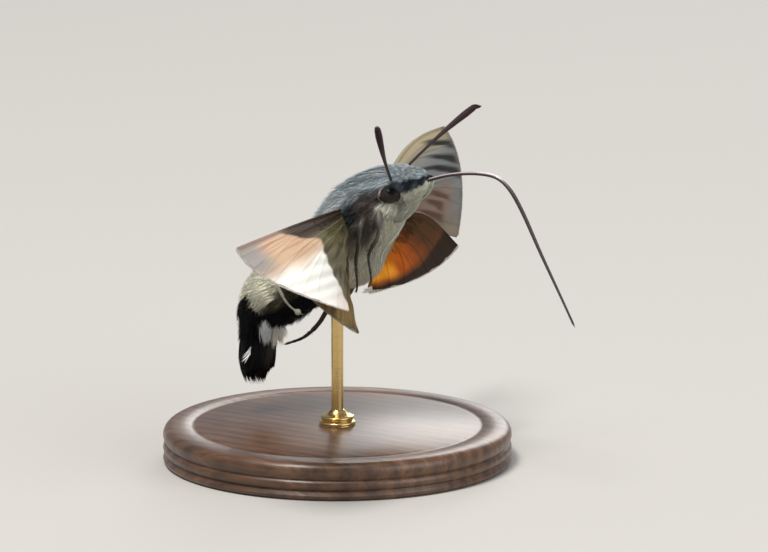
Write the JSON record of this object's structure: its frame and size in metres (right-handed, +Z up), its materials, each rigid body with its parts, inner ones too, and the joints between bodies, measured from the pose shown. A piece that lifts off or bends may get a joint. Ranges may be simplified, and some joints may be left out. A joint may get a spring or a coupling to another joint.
{
  "type": "hummingbird hawk moth model",
  "caption": "Life-size still hawk moth hovering with outstretched wings and long tongue, held by a slim rod over a round display base.",
  "frame": {"origin": "centre of the stand base's underside", "axes": "+X the way the moth faces, +Y to the moth's left along its wing span, +Z up, the body's middle plane in XZ"},
  "size_m": [0.0413, 0.0473, 0.0336],
  "materials": {
    "body_fur": "dense short fur, olive grey with a blue sheen",
    "abdomen_fur": "dark brown fur with pale side tufts",
    "tail_scales": "long black scales",
    "eye": "glossy compound eye",
    "palp_fur": "short pale fur, dark on top",
    "antenna": "matt dark brown scales",
    "tongue": "satin dark brown cuticle",
    "leg": "matt brown scales",
    "forewing": "scaled membrane, grey brown and cream",
    "hindwing": "scaled membrane, orange with a dark margin",
    "base_wood": "satin dark walnut",
    "rod_metal": "satin brass"
  },
  "bodies": {
    "root": {"head": "body_fur", "thorax": "body_fur", "abdomen_front": "abdomen_fur", "abdomen_mid": "abdomen_fur", "abdomen_rear": "abdomen_fur", "tail_fan": "tail_scales", "eye_left": "eye", "eye_right": "eye", "palp_left": "palp_fur", "palp_right": "palp_fur", "antenna_left": "antenna", "antenna_right": "antenna", "proboscis_base": "tongue", "proboscis_mid": "tongue", "proboscis_tip": "tongue", "leg_front_left": "leg", "leg_front_right": "leg", "leg_mid_left": "leg", "leg_mid_right": "leg", "leg_hind_left": "leg", "leg_hind_right": "leg", "forewing_left": "forewing", "forewing_right": "forewing", "hindwing_left": "hindwing", "hindwing_right": "hindwing", "stand_base": "base_wood", "stand_rod": "rod_metal"}
  },
  "joints": []
}
